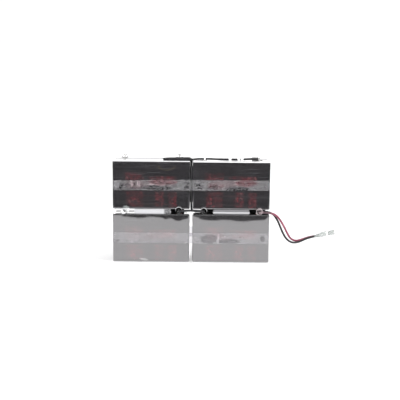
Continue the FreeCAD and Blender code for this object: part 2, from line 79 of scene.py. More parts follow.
# ---------------------------------------------------------------------------
# node material helper: all patterns are in millimetres of the part
# ---------------------------------------------------------------------------
class Net:
    def __init__(self, name):
        self.m = bpy.data.materials.new(name)
        self.m.use_nodes = True
        self.t = self.m.node_tree
        self.t.nodes.clear()
        self.out = self.t.nodes.new("ShaderNodeOutputMaterial")
        co = self.add("TexCoord")
        self.mm = self.add("VectorMath", {"operation": "SCALE"},
                           {0: co.outputs["Object"], "Scale": 1000.0}).outputs[0]
        s = self.add("SeparateXYZ", {}, {0: self.mm})
        self.x, self.y, self.z = s.outputs
        geo = self.add("NewGeometry")
        self.back = geo.outputs["Backfacing"]
        n = self.add("SeparateXYZ", {}, {0: geo.outputs["True Normal"]})
        self.nx, self.ny, self.nz = n.outputs

    def add(self, kind, props=None, ins=None):
        nd = self.t.nodes.new("ShaderNode" + kind)
        for k, v in (props or {}).items():
            setattr(nd, k, v)
        for k, v in (ins or {}).items():
            self.put(nd, k, v)
        return nd

    def put(self, nd, key, v):
        s = nd.inputs[key]
        if isinstance(v, bpy.types.NodeSocket):
            self.t.links.new(v, s)
        elif isinstance(v, (tuple, list)) and len(v) == 3 and s.type == "RGBA":
            s.default_value = (*v, 1.0)
        else:
            s.default_value = v

    def math(self, op, a, b=0.0, c=0.0, clamp=False):
        return self.add("Math", {"operation": op, "use_clamp": clamp}, {0: a, 1: b, 2: c}).outputs[0]

    def mul(self, *v):
        r = v[0]
        for k in v[1:]:
            r = self.math("MULTIPLY", r, k)
        return r

    def plus(self, *v):
        r = v[0]
        for k in v[1:]:
            r = self.math("ADD", r, k)
        return r

    def top_of(self, *v):
        r = v[0]
        for k in v[1:]:
            r = self.math("MAXIMUM", r, k)
        return r

    def sub(self, a, b):
        return self.math("SUBTRACT", a, b)

    def inv(self, a):
        return self.math("SUBTRACT", 1.0, a, clamp=True)

    def step(self, v, a, b, lo=0.0, hi=1.0):
        nd = self.add("MapRange", {"interpolation_type": "SMOOTHSTEP"},
                      {"Value": v, "From Min": a, "From Max": b, "To Min": lo, "To Max": hi})
        return nd.outputs[0]

    def lin(self, v, a, b, lo, hi):
        return self.add("MapRange", {}, {"Value": v, "From Min": a, "From Max": b,
                                         "To Min": lo, "To Max": hi}).outputs[0]

    def scaled(self, sx, sy, sz, off=(0, 0, 0)):
        return self.add("Mapping", {}, {"Vector": self.mm, "Scale": (sx, sy, sz),
                                        "Location": off}).outputs[0]

    def noise(self, scale=1.0, detail=2.0, rough=0.5, vec=None, dist=0.0, colour=False):
        nd = self.add("TexNoise", {}, {"Vector": vec or self.mm, "Scale": scale, "Detail": detail,
                                       "Roughness": rough, "Distortion": dist})
        return nd.outputs["Color" if colour else 0]

    def voro(self, scale=1.0, vec=None, feature="F1", out="Distance", rnd=1.0):
        nd = self.add("TexVoronoi", {"feature": feature}, {"Vector": vec or self.mm, "Scale": scale,
                                                           "Randomness": rnd})
        return nd.outputs[out]

    def mix(self, f, a, b):
        nd = self.add("Mix", {"data_type": "RGBA"})
        self.put(nd, 0, f)
        self.put(nd, 6, a)
        self.put(nd, 7, b)
        return nd.outputs[2]

    def mixf(self, f, a, b):
        nd = self.add("Mix", {"data_type": "FLOAT"})
        self.put(nd, 0, f)
        self.put(nd, 2, a)
        self.put(nd, 3, b)
        return nd.outputs[0]

    def band(self, v, a, b, soft=0.4):
        return self.mul(self.step(v, a - soft, a + soft), self.step(v, b - soft, b + soft, 1.0, 0.0))

    def rect(self, u, w, u0, u1, w0, w1, soft=0.4):
        return self.mul(self.band(u, u0, u1, soft), self.band(w, w0, w1, soft))

    def bump(self, height_mm, strength=1.0, normal=None):
        nd = self.add("Bump", {}, {"Strength": strength, "Distance": MM, "Height": height_mm})
        if normal is not None:
            self.put(nd, "Normal", normal)
        return nd.outputs[0]

    def shader(self, ins):
        nd = self.add("BsdfPrincipled")
        for k, v in ins.items():
            self.put(nd, k, v)
        return nd.outputs[0]

    def finish(self, surface):
        self.t.links.new(surface, self.out.inputs["Surface"])
        return self.m


def dress(ob, mat):
    ob.data.materials.clear()
    ob.data.materials.append(mat)


def shade_smooth(ob, angle=35.0):
    me = ob.data
    for p in me.polygons:
        p.use_smooth = True
    me.set_sharp_from_angle(angle=math.radians(angle))


# ---------------------------------------------------------------------------
# wires: one smooth NURBS line each, through the routes of the model (mm)
# ---------------------------------------------------------------------------
def wire(name, pts, mat, node, r=WIRE_R):
    cu = bpy.data.curves.new(name, "CURVE")
    cu.dimensions = "3D"
    sp = cu.splines.new("NURBS")
    sp.points.add(len(pts) - 1)
    for p, q in zip(sp.points, pts):
        p.co = (q[0] * MM, q[1] * MM, q[2] * MM, 1.0)
    sp.order_u = 3
    sp.use_endpoint_u = True
    cu.resolution_u = 16
    cu.bevel_depth = r * MM
    cu.bevel_resolution = 7
    cu.use_fill_caps = True
    ob = bpy.data.objects.new(name, cu)
    coll.objects.link(ob)
    cu.materials.append(mat)
    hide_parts(node)
    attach(ob, "root")
    return ob


def wire_material(name, dark, light, rough, dirt, near=None):
    g = Net(name)
    n1 = g.noise(0.09, 2.0)
    n2 = g.noise(0.9, 4.0, 0.6)
    n3 = g.noise(5.0, 3.0, 0.6)
    col = g.mix(g.step(n1, 0.35, 0.68), dark, light)
    grime_and_shade = g.mul(g.step(n2, 0.52, 0.72), 0.45)
    col = g.mix(grime_and_shade, col, dirt)
    gap_dust = g.mul(g.step(g.math("ABSOLUTE", g.x), 3.0, 6.0, 1.0, 0.0), g.step(g.z, 188.0, 194.0, 1.0, 0.0),
                      g.step(g.z, 112.0, 118.0), g.step(n2, 0.30, 0.55, 0.5, 1.0))
    col = g.mix(gap_dust, col, (0.11, 0.11, 0.113))
    if near is not None:
        # greyer and darker up to about x = 160 mm, pale grey-pink nearest the terminal
        col = g.mix(g.step(g.x, 150.0, 166.0, 1.0, 0.0), col, near[1])
        col = g.mix(g.step(g.x, 138.5, 143.0, 1.0, 0.0), col, near[0])
    r = g.plus(rough, g.mul(n2, 0.14), g.mul(grime_and_shade, 0.35))
    h = g.plus(g.mul(n1, 0.10), g.mul(n2, 0.03), g.mul(n3, 0.006))
    s = g.shader({"Base Color": col, "Roughness": r, "IOR": 1.45, "Specular IOR Level": 0.20,
                  "Normal": g.bump(h)})
    return g.finish(s)


M_BLACK = wire_material("m_wire_black", (0.008, 0.008, 0.009), (0.016, 0.0155, 0.017), 0.42, (0.045, 0.044, 0.042))
M_RED = wire_material("m_wire_red", (0.125, 0.026, 0.046), (0.185, 0.042, 0.070), 0.42, (0.10, 0.05, 0.06),
                      ((0.20, 0.155, 0.165), (0.060, 0.036, 0.042)))

BLACK = [(140.6, F + 22.62, 98.945), (152.5, F + 21.13, 99.365), (163.4, F + 19.0, 94.6),
         (171.2, F + 17.5, 83.6), (177.2, F + 16.6, 69.4), (183.2, F + 16.7, 55.4),
         (190.8, F + 18.3, 43.4), (202.0, F + 21.5, 36.2), (215.5, F + 26.0, 37.0),
         (228.5, F + 31.5, 42.4), (243.0, F + 37.5, 45.4), (257.5, F + 42.6, 48.0)]
RED = [(147.0, F - 9.914, 103.31), (159.4, F - 7.516, 101.964), (169.8, F - 1.4, 94.6),
       (177.7, F + 5.8, 83.0), (185.2, F + 12.0, 69.6), (191.8, F + 17.0, 55.4),
       (198.8, F + 22.0, 44.2), (209.5, F + 28.4, 38.6), (222.8, F + 36.0, 40.8),
       (236.6, F + 43.6, 43.8), (249.8, F + 49.6, 45.0), (262.4, F + 53.6, 46.4), (274.6, F + 56.2, 48.4)]

free_black = wire("wire_lead_black", BLACK, M_BLACK, "lead_black")
free_red = wire("wire_lead_red", RED, M_RED, "lead_red")

WS = 5.0
zb = BLOCK_H + 5.0       # axis of the lower barrels
ZT = TOP + 5.0           # axis of the upper barrels
LOW = TOP + 3.3          # the same for the outermost upper one
LLN, LLP, LRN, LRP = (-133.0, F + 14), (-24.0, F + 14), (24.0, F + 14), (133.0, F + 14)
URN, URP = (24.0, F + 14), (133.0, F + 14)
ULN, ULP = (-24.0, B - 14), (-133.0, B - 14)

held = [
    ("wire_jumper_lower", "jumper_lower", M_BLACK, "black_wire", [
        (LLP[0], LLP[1] - WS, zb), (-24.0, F - 2.0, 101.0), (-23.6, F - 9.5, 104.6), (-17.0, F - 11.4, 105.9),
        (-7.0, F - 11.5, 106.3), (7.0, F - 11.5, 106.3), (17.0, F - 11.4, 105.9),
        (24.4, F - 9.5, 104.6), (24.0, F - 2.0, 101.0), (LRN[0], LRN[1] - WS, zb)]),
    ("wire_jumper_rise", "jumper_rise", M_BLACK, "black_wire", [
        (LLN[0], LLN[1] + WS, zb), (-133.0, F + 44.0, 100.95), (-132.0, B + 4.4, 100.6),
        (-130.6, B + 3.4, 124.0), (-130.2, B + 3.1, 153.0), (-131.4, B + 3.8, 182.0),
        (-133.0, B + 4.8, ZT), (ULP[0], ULP[1] + WS, ZT)]),
    ("wire_jumper_top", "jumper_top", M_BLACK, "black_wire", [
        (ULN[0], ULN[1] + WS, ZT), (-24.0, B + 4.6, ZT), (-19.0, B + 4.6, 193.5), (0.0, B + 4.6, 193.0),
        (0.0, B - 13.0, 193.4), (0.0, F + 24.0, 193.0), (0.0, F + 24.0, 205.0), (-14.0, F + 24.0, 204.85),
        (-28.0, F + 22.0, 204.8), (-48.5, F + 20.3, 204.75), (-56.5, F + 13.0, 204.75),
        (-48.5, F + 5.8, 204.75), (-36.0, F + 5.4, 204.75), (-14.0, F + 5.6, 204.8), (0.0, F + 5.4, 204.95),
        (14.0, F + 5.2, 206.6), (38.0, F + 5.2, 206.6), (54.0, F + 11.5, 204.85), (80.0, F + 12.5, 204.75),
        (98.0, F + 12.5, 204.75), (112.0, F + 14.0, LOW), (URP[0] - WS, URP[1], LOW)]),
    ("wire_lead_black_inner", "lead_black_inner", M_BLACK, "black_wire", [
        (URN[0] - WS, URN[1], ZT), (0.0, F + 13.8, ZT), (0.0, F + 13.5, 193.0), (0.1, F + 16.0, 160.0),
        (0.0, F + 18.5, 126.0), (0.2, F + 22.0, 112.0), (0.5, F + 22.8, 98.7), (19.0, F + 24.2, 98.6),
        (46.0, F + 24.9, 98.4), (80.0, F + 24.4, 98.55), (112.0, F + 25.0, 98.5), (128.0, F + 24.2, 98.5),
        (140.6, F + 22.62, 98.945)]),
    ("wire_lead_red_inner", "lead_red_inner", M_RED, "red_wire", [
        (LRP[0], LRP[1] - WS, zb), (133.0, F - 4.6, 101.1), (138.8, F - 11.5, 104.2),
        (147.0, F - 9.914, 103.31)]),
]
for nm, node, mat, slot, pts in held:
    wire(nm, pts, mat, node)


# ---------------------------------------------------------------------------
# stage: blown-out white table, a bright sweep around the pack for its gloss,
# a light sky and two soft boxes
# ---------------------------------------------------------------------------
def plane(name, x0, x1, y0, y1, z, hole=None):
    bm = bmesh.new()
    if hole is None:
        vs = [bm.verts.new((x, y, z)) for x, y in ((x0, y0), (x1, y0), (x1, y1), (x0, y1))]
        bm.faces.new(vs)
    else:
        a0, a1, b0, b1 = hole
        o = [bm.verts.new((x, y, z)) for x, y in ((x0, y0), (x1, y0), (x1, y1), (x0, y1))]
        i = [bm.verts.new((x, y, z)) for x, y in ((a0, b0), (a1, b0), (a1, b1), (a0, b1))]
        for k in range(4):
            j = (k + 1) % 4
            bm.faces.new((o[k], o[j], i[j], i[k]))
    me = bpy.data.meshes.new(name)
    bm.to_mesh(me)
    bm.free()
    ob = bpy.data.objects.new(name, me)
    coll.objects.link(ob)
    return ob


SWEEP = 467.0            # how far the bright table reaches in front of the faces, mm
floor = plane("stage_floor", -60.0, 60.0, -60.0, 60.0, 0.0)
g = Net("m_stage_floor")
fcol = g.mix(g.noise(0.02, 3.0), (0.86, 0.86, 0.865), (0.88, 0.88, 0.88))
lit = g.shader({"Base Color": fcol, "Roughness": 0.9, "Specular IOR Level": 0.1,
                "Emission Color": (1.0, 1.0, 1.0), "Emission Strength": 0.42})
seen = g.shader({"Base Color": g.mix(g.noise(0.02, 3.0), (0.42, 0.42, 0.422), (0.44, 0.44, 0.44)), "Roughness": 0.9,
                 "Specular IOR Level": 0.1, "Emission Color": (1.0, 1.0, 1.0), "Emission Strength": 0.37})
seeing = g.add("LightPath").outputs["Is Camera Ray"]
dress(floor, g.finish(g.add("MixShader", {}, {0: seeing, 1: lit, 2: seen}).outputs[0]))
floor.visible_glossy = False

sweep = plane("stage_sweep", -0.1546 - SWEEP * MM, 0.1546 + SWEEP * MM, (F - SWEEP) * MM, (B + SWEEP) * MM, 0.0004)
g = Net("m_stage_sweep")
em = g.add("Emission", {}, {"Color": (1.0, 0.985, 1.0), "Strength": 2.85})
dress(sweep, g.finish(em.outputs[0]))
sweep.visible_camera = False
sweep.visible_diffuse = False
sweep.visible_transmission = False
sweep.visible_shadow = False
sweep.visible_volume_scatter = False

world = bpy.data.worlds.new("studio")
bpy.context.scene.world = world
world.use_nodes = True
wt = world.node_tree
wt.nodes.clear()
wo = wt.nodes.new("ShaderNodeOutputWorld")
bg = wt.nodes.new("ShaderNodeBackground")
tc = wt.nodes.new("ShaderNodeTexCoord")
sx = wt.nodes.new("ShaderNodeSeparateXYZ")
wt.links.new(tc.outputs["Generated"], sx.inputs[0])
up = wt.nodes.new("ShaderNodeMapRange")
up.interpolation_type = "SMOOTHSTEP"
wt.links.new(sx.outputs[2], up.inputs["Value"])
up.inputs["From Min"].default_value = 0.10
up.inputs["From Max"].default_value = 0.75
up.inputs["To Min"].default_value = 3.0
up.inputs["To Max"].default_value = 0.95
below = wt.nodes.new("ShaderNodeMath")
below.operation = "LESS_THAN"
below.inputs[1].default_value = 0.0
wt.links.new(sx.outputs[2], below.inputs[0])
lp = wt.nodes.new("ShaderNodeLightPath")
dk = wt.nodes.new("ShaderNodeMath")
dk.operation = "MULTIPLY"
wt.links.new(below.outputs[0], dk.inputs[0])
wt.links.new(lp.outputs["Is Glossy Ray"], dk.inputs[1])
mx = wt.nodes.new("ShaderNodeMix")
mx.data_type = "FLOAT"
wt.links.new(dk.outputs[0], mx.inputs[0])
wt.links.new(up.outputs[0], mx.inputs[2])
mx.inputs[3].default_value = 0.05
mc = wt.nodes.new("ShaderNodeMix")
mc.data_type = "FLOAT"
wt.links.new(lp.outputs["Is Camera Ray"], mc.inputs[0])
wt.links.new(mx.outputs[0], mc.inputs[2])
mc.inputs[3].default_value = 1.08
wt.links.new(mc.outputs[0], bg.inputs["Strength"])
bg.inputs["Color"].default_value = (1.0, 0.995, 1.0, 1.0)
wt.links.new(bg.outputs[0], wo.inputs["Surface"])


def softbox(name, where, at, size, power):
    d = bpy.data.lights.new(name, "AREA")
    d.shape = "RECTANGLE"
    d.size, d.size_y = size
    d.energy = power
    ob = bpy.data.objects.new(name, d)
    coll.objects.link(ob)
    ob.location = where
    ob.rotation_mode = "QUATERNION"
    ob.rotation_quaternion = (Vector(at) - Vector(where)).to_track_quat("-Z", "Y")
    return ob


softbox("key", (1.55, -0.55, 1.75), (0.05, 0.0, 0.05), (0.7, 0.7), 42.0)
softbox("fill", (-1.9, -1.2, 2.0), (0.0, 0.0, 0.1), (1.2, 1.2), 18.0)

scene = bpy.context.scene
scene.view_settings.view_transform = "Standard"
scene.view_settings.look = "None"
scene.view_settings.exposure = 0.0
scene.view_settings.gamma = 1.0


# ---------------------------------------------------------------------------
# block plastic: glossy black moulding with slightly wavy panels, faded red
# fields of print on the long sides, painted highlights, dust and rubbed edges
# ---------------------------------------------------------------------------
WARP_LEFT = [(0.00, -0.0022), (0.09, -0.0018), (0.14, 0.0026), (0.21, 0.0034), (0.29, 0.0042), (0.35, 0.0056),
             (0.41, 0.0042), (0.47, 0.0028), (0.58, 0.0026), (0.65, 0.0042), (0.695, 0.0078), (0.745, 0.0054),
             (0.80, 0.0104), (0.85, 0.0120), (0.90, 0.0098), (0.95, 0.0078), (1.00, 0.0060)]
WARP_RIGHT = [(0.00, 0.0012), (0.04, 0.0020), (0.14, 0.0079), (0.27, 0.0098), (0.42, 0.0084),
              (0.60, 0.0116), (0.72, 0.0112), (0.85, 0.0092), (0.93, 0.0080), (0.98, 0.0018), (1.0, 0.0010)]


def print_fields(g, u, w):
    """Faded generic print: wedges, bars, dashes and rules, no lettering."""
    parts = []
    # rows of short dashes, shifted from row to row
    row = g.math("FRACT", g.math("DIVIDE", w, 4.3))
    rows = g.band(row, 0.20, 0.80, 0.08)
    shift = g.mul(g.math("FLOOR", g.math("DIVIDE", w, 4.3)), 0.37)
    dash = g.band(g.math("FRACT", g.plus(g.math("DIVIDE", u, 9.7), shift)), 0.10, 0.90, 0.05)
    block = g.plus(0.45, g.mul(rows, dash, 0.55))
    # a wedge at the upper left that widens downwards, cut by slanting strokes
    slope = g.sub(g.plus(w, g.mul(u, 0.16)), 0.0)
    wedge = g.mul(g.rect(u, w, 25, 61, 57.0, 73.0, 0.6), g.step(slope, 74.0, 78.0, 1.0, 0.35))
    stroke = g.band(g.math("FRACT", g.math("DIVIDE", g.plus(u, g.mul(w, 0.8)), 6.3)), 0.18, 0.78, 0.10)
    parts.append(g.mul(wedge, g.plus(0.45, g.mul(stroke, 0.55)), 0.9))
    # bars at the upper right and a field across, part of it under the tape
    parts.append(g.mul(g.rect(u, w, 72, 125, 58.8, 66.0, 0.5), block, 0.75))
    parts.append(g.mul(g.rect(u, w, 74, 126, 48.0, 57.2, 0.5), g.plus(0.5, g.mul(stroke, 0.5)), 1.0))
    parts.append(g.mul(g.rect(u, w, 92, 126, 56.0, 65.0, 0.5), g.plus(0.6, g.mul(stroke, 0.4)), 0.95))
    parts.append(g.mul(g.rect(u, w, 30, 72, 43.0, 54.0, 0.7), g.plus(0.5, g.mul(stroke, 0.5)), 0.60))
    # columns of dashes below
    parts.append(g.mul(block, g.rect(u, w, 27, 60, 4, 35, 0.3), 0.75))
    parts.append(g.mul(block, g.rect(u, w, 84, 101, 4, 35, 0.3), 0.80))
    parts.append(g.mul(block, g.rect(u, w, 110, 126, 3, 34, 0.3), 0.85))
    # solid small fields among the dashes, one of them a ring
    parts.append(g.mul(g.rect(u, w, 31, 46, 11, 25, 0.6), g.plus(0.55, g.mul(stroke, 0.45)), 1.0))
    ru = g.math("DIVIDE", g.sub(u, 92.5), 6.2)
    rw = g.math("DIVIDE", g.sub(w, 20.0), 7.0)
    rr = g.math("SQRT", g.plus(g.mul(ru, ru), g.mul(rw, rw)))
    parts.append(g.mul(g.band(rr, 0.60, 1.02, 0.10), 0.95))
    parts.append(g.mul(g.rect(u, w, 113, 124, 9, 21, 0.5), g.plus(0.55, g.mul(stroke, 0.45)), 0.95))
    # thin rules across
    parts.append(g.mul(g.rect(u, w, 60, 124, 26.6, 27.5, 0.25), 0.6))
    parts.append(g.mul(g.rect(u, w, 46, 108, 9.0, 9.9, 0.25), 0.6))
    parts.append(g.mul(g.rect(u, w, 62, 84, 17.2, 18.0, 0.25), 0.5))
    parts.append(g.mul(g.rect(u, w, 29, 58, 35.2, 36.0, 0.25), 0.5))
    return g.top_of(*parts)


def plastic(name, x0, z0, warp, kind):
    g = Net(name)
    front = g.step(g.ny, -0.1, 0.1, 1.0, 0.0)
    u = g.mixf(front, g.sub(x0 + BLOCK_L, g.x), g.sub(g.x, x0))
    w = g.sub(g.z, z0)
    side = g.step(g.math("ABSOLUTE", g.ny), 0.8, 0.95)
    lies = g.step(g.nz, 0.6, 0.95)
    n_big = g.noise(0.016, 2.0, 0.5)
    n_mid = g.noise(0.22, 4.0, 0.6)
    n_fine = g.noise(2.6, 3.0, 0.6)
    streak = g.noise(1.0, 3.0, 0.55, vec=g.scaled(0.018, 0.018, 0.42, (x0, 0, z0)))
    rub = g.noise(1.0, 4.0, 0.65, vec=g.scaled(0.05, 0.05, 1.7, (0, 3, 0)))
    nicks = g.noise(0.8, 5.0, 0.7)

    # edges of the moulding, rubbed lighter
    ex = g.math("MINIMUM", g.math("ABSOLUTE", g.sub(g.x, x0)), g.math("ABSOLUTE", g.sub(g.x, x0 + BLOCK_L)))
    ey = g.math("MINIMUM", g.math("ABSOLUTE", g.sub(g.y, F)), g.math("ABSOLUTE", g.sub(g.y, B)))
    ez = g.math("MINIMUM", g.math("ABSOLUTE", w), g.math("ABSOLUTE", g.sub(w, BLOCK_H)))
    near = [g.step(e, 0.5, 2.6, 1.0, 0.0) for e in (ex, ey, ez)]
    edge = g.top_of(g.mul(near[0], near[1]), g.mul(near[1], near[2]), g.mul(near[0], near[2]))
    edge = g.mul(edge, g.step(nicks, 0.38, 0.62, 0.15, 1.0))

    col = g.mix(g.step(n_mid, 0.3, 0.7), (0.0140, 0.0134, 0.0143), (0.0190, 0.0182, 0.0194))
    if z0 < 1.0 and x0 > 0.0:
        col = g.mix(0.5, col, (0.0225, 0.0220, 0.0235))
    col = g.mix(g.mul(g.step(streak, 0.48, 0.70), 0.38), col, (0.040, 0.039, 0.042))
    if z0 > 1.0:
        # long light streaks and a brown smear on the upper blocks
        fine = g.noise(1.0, 2.0, 0.5, vec=g.scaled(0.014, 0.014, 0.95, (x0, 0, 7)))
        where = g.step(g.noise(0.020, 2.0, 0.5, vec=g.scaled(1, 1, 1, (x0, 5, 0))), 0.40, 0.60, 0.25, 1.0)
        high = g.step(w, 40.0, 70.0, 0.55, 1.0)
        col = g.mix(g.mul(g.step(fine, 0.55, 0.70), where, high, 0.62), col, (0.062, 0.061, 0.066))
        dark = g.step(g.noise(1.0, 2.0, 0.5, vec=g.scaled(0.02, 0.02, 0.6, (x0, 3, 9))), 0.50, 0.68)
        col = g.mix(g.mul(dark, 0.5), col, (0.008, 0.008, 0.009))
        au = g.math("DIVIDE", g.sub(u, 106.0), 17.0)
        aw = g.math("DIVIDE", g.sub(w, 86.0), 8.5)
        ar = g.math("SQRT", g.plus(g.mul(au, au), g.mul(aw, aw)))
        arc = g.mul(g.band(ar, 0.86, 1.04, 0.07), g.step(w, 84.0, 88.0, 1.0, 0.0), side)
        if x0 < 0.0:
            col = g.mix(g.mul(arc, 0.5), col, (0.070, 0.058, 0.040))
    col = g.mix(g.mul(edge, 0.55), col, (0.075, 0.074, 0.077))
    rough = g.plus(0.030, g.mul(g.step(n_mid, 0.45, 0.80), 0.030), g.mul(g.step(rub, 0.62, 0.76), 0.06),
                   g.mul(edge, 0.14))

    if kind == "lid" and z0 > 1.0:
        # painted highlight: the front top edge of the upper lids is painted near white, standing in for its
        # reflection of the bright backdrop
        rim_highlight = g.mul(g.step(w, BLOCK_H - (3.0 if x0 > 0.0 else 1.9), BLOCK_H - (1.3 if x0 > 0.0 else 0.7)),
                    g.step(g.y, F + 3.0, F + 5.0, 1.0, 0.0), g.step(nicks, 0.30, 0.55, 0.75, 1.0))
        col = g.mix(g.mul(rim_highlight, 0.85), col, (0.62, 0.62, 0.63))
        rough = g.plus(rough, g.mul(rim_highlight, 0.3))

    if kind == "lid" and z0 < 1.0 and x0 < 0.0:
        # painted highlight: a pale line along the back top edge of the lower left lid, at its left end
        back_edge_highlight = g.mul(g.step(w, BLOCK_H - 3.6, BLOCK_H - 2.2), g.step(g.y, B - 5.0, B - 3.5), g.step(g.x, -112.0, -106.0, 1.0, 0.0))
        col = g.mix(g.mul(back_edge_highlight, 0.9), col, (0.70, 0.70, 0.71))
        rough = g.plus(rough, g.mul(back_edge_highlight, 0.5))

    if kind == "case":
        ink = print_fields(g, u, w)
        worn = g.step(g.noise(0.17, 3.0, 0.6, vec=g.scaled(1.0, 1.0, 1.0, (x0 * 0.3, 0, z0))), 0.42, 0.58, 0.12, 1.0)
        fade = g.step(g.noise(0.045, 2.0, 0.5, vec=g.scaled(1, 1, 1, (0, 0, z0))), 0.3, 0.7, 0.70, 1.0)
        ink = g.mul(ink, worn, fade, side, 0.92 if z0 > 1.0 else 0.80)
        grey = g.step(g.noise(0.20, 3.0, 0.6, vec=g.scaled(1.0, 1.0, 2.4)), 0.50, 0.62)
        col = g.mix(ink, col, g.mix(grey, (0.092, 0.017, 0.022), (0.088, 0.046, 0.046)))
        rough = g.plus(rough, g.mul(ink, 0.02))
        # a painted highlight: a light wedge low on the lower left block's face
        if x0 < 0.0 and z0 < 1.0:
            su = g.math("DIVIDE", g.sub(u, g.plus(61.0, g.mul(g.sub(w, 5.5), -1.6))), 9.0)
            sw = g.math("DIVIDE", g.sub(w, 5.2), 3.0)
            sd = g.plus(g.mul(su, su), g.mul(sw, sw), g.mul(g.sub(nicks, 0.5), 1.2))
            low_face_highlight = g.mul(g.step(sd, 0.3, 1.1, 1.0, 0.0), side)
            col = g.mix(g.mul(low_face_highlight, 0.55), col, (0.20, 0.20, 0.20))

    # dust settled on what faces up, and fine specks
    speck = g.step(g.noise(1.5, 4.0, 0.75), 0.62, 0.74)
    dust = g.mul(lies, g.plus(g.mul(g.step(n_mid, 0.4, 0.75), 0.10), g.mul(speck, 0.20)))
    col = g.mix(dust, col, (0.30, 0.29, 0.28))
    rough = g.plus(rough, g.mul(dust, 0.7))

    # wavy panel plus fine moulding texture
    cv = g.add("FloatCurve")
    c = cv.mapping.curves[0]
    lo, hi = -0.004, 0.014
    for i, (a, t) in enumerate(warp):
        v = (t - lo) / (hi - lo)
        if i == 0:
            c.points[0].location = (a, v)
        elif i == len(warp) - 1:
            c.points[1 if len(c.points) == 2 else len(c.points) - 1].location = (a, v)
        else:
            c.points.new(a, v)
    cv.mapping.update()
    g.put(cv, "Value", g.math("DIVIDE", g.sub(g.x, x0), BLOCK_L))
    tilt = g.lin(cv.outputs[0], 0.0, 1.0, lo, hi)
    h_warp = g.mul(tilt, g.sub(BLOCK_H - 8.0, w), side)
    h_wave = g.mul(g.sub(n_big, 0.5), 0.10, side)
    n = g.bump(g.plus(h_warp, h_wave))
    h_fine = g.plus(g.mul(n_fine, 0.0006), g.mul(g.step(rub, 0.62, 0.74), 0.0012), g.mul(edge, nicks, 0.02))
    if kind == "lid":
        h_fine = g.plus(h_fine, g.mul(g.noise(7.0, 2.0), lies, 0.006))
    n = g.bump(h_fine, normal=n)
    if kind == "lid" and z0 < 1.0:
        # the lower lids' front top edge is rubbed nearly flat
        flat = g.mul(g.step(g.y, F + 1.4, F + 2.2, 1.0, 0.0), g.step(g.nz, 0.04, 0.12),
                     g.step(g.nz, 0.90, 0.97, 1.0, 0.0), g.step(nicks, 0.30, 0.60, 0.75, 1.0))
        nd = g.add("Mix", {"data_type": "VECTOR"})
        g.put(nd, 0, flat)
        g.put(nd, 4, n)
        g.put(nd, 5, (0.0, -1.0, 0.01))
        n = nd.outputs[1]
    s = g.shader({"Base Color": col, "Roughness": rough, "IOR": 1.6, "Specular IOR Level": 1.0, "Normal": n})
    return g.finish(s)


for row, z0 in (("lower", 0.0), ("upper", BASE_UP)):
    for side, x0, warp in (("left", LEFT0, WARP_LEFT), ("right", RIGHT0, WARP_RIGHT)):
        b = row + "_" + side
        dress(NODES[b + "_case"], plastic("m_%s_case" % b, x0, z0, warp, "case"))
        dress(NODES[b + "_lid"], plastic("m_%s_lid" % b, x0, z0, warp, "lid"))


def cover_material():
    g = Net("m_vent_cover")
    n1 = g.noise(0.25, 4.0, 0.6)
    grain = g.noise(3.4, 2.0, 0.5)
    cell = g.voro(1.9)
    lies = g.step(g.nz, 0.6, 0.95)
    col = g.mix(g.step(n1, 0.3, 0.7), (0.020, 0.020, 0.021), (0.030, 0.029, 0.031))
    speck = g.step(g.noise(1.3, 4.0, 0.75), 0.60, 0.74)
    dust = g.mul(lies, g.plus(g.mul(n1, 0.10), g.mul(speck, 0.22)))
    col = g.mix(dust, col, (0.32, 0.31, 0.30))
    rough = g.plus(0.24, g.mul(n1, 0.12), g.mul(dust, 0.5))
    h = g.plus(g.mul(grain, 0.010), g.mul(cell, 0.012))
    return g.finish(g.shader({"Base Color": col, "Roughness": rough, "IOR": 1.55,
                              "Specular IOR Level": 0.7, "Normal": g.bump(h)}))


M_COVER = cover_material()


def rubber_material():
    g = Net("m_valve_rubber")
    n1 = g.noise(0.8, 4.0, 0.6)
    col = g.mix(n1, (0.016, 0.016, 0.016), (0.034, 0.033, 0.032))
    return g.finish(g.shader({"Base Color": col, "Roughness": g.plus(0.5, g.mul(n1, 0.2)),
                              "Normal": g.bump(g.mul(g.noise(6.0, 3.0), 0.01))}))


def tin_material(name, tint):
    g = Net(name)
    brushed = g.noise(1.0, 3.0, 0.6, vec=g.scaled(0.5, 4.0, 4.0))
    n1 = g.noise(0.5, 4.0, 0.6)
    col = g.mix(g.step(n1, 0.35, 0.7), tint, tuple(c * 0.78 for c in tint))
    rough = g.plus(0.20, g.mul(brushed, 0.16), g.mul(n1, 0.10))
    h = g.plus(g.mul(brushed, 0.008), g.mul(g.noise(2.0, 3.0), 0.012))
    return g.finish(g.shader({"Base Color": col, "Metallic": 1.0, "Roughness": rough, "Normal": g.bump(h)}))


def seal_material():
    g = Net("m_terminal_seal")
    # red resin at the positive tabs, black at the negative ones
    pos = g.top_of(
        g.mul(g.step(g.x, 100.0, 110.0), 1.0),
        g.mul(g.step(g.x, -60.0, -40.0), g.step(g.x, 0.0, 10.0, 1.0, 0.0), g.step(g.z, 140.0, 150.0, 1.0, 0.0)),
        g.mul(g.step(g.x, -110.0, -100.0, 1.0, 0.0), g.step(g.z, 140.0, 150.0)))
    upper = g.step(g.z, 140.0, 150.0)
    n1 = g.noise(0.7, 4.0, 0.6)
    col = g.mix(pos, g.mix(n1, (0.018, 0.018, 0.018), (0.035, 0.034, 0.034)),
                g.mix(n1, (0.36, 0.022, 0.026), (0.52, 0.05, 0.05)))
    # painted highlight: the upper row's seals are made pale to wash out like the bright lid tops around them
    col = g.mix(upper, col, g.mix(n1, (0.74, 0.72, 0.71), (0.60, 0.58, 0.57)))
    return g.finish(g.shader({"Base Color": col, "Roughness": g.plus(0.22, g.mul(n1, 0.2)),
                              "Normal": g.bump(g.mul(g.noise(0.9, 3.0), 0.08))}))


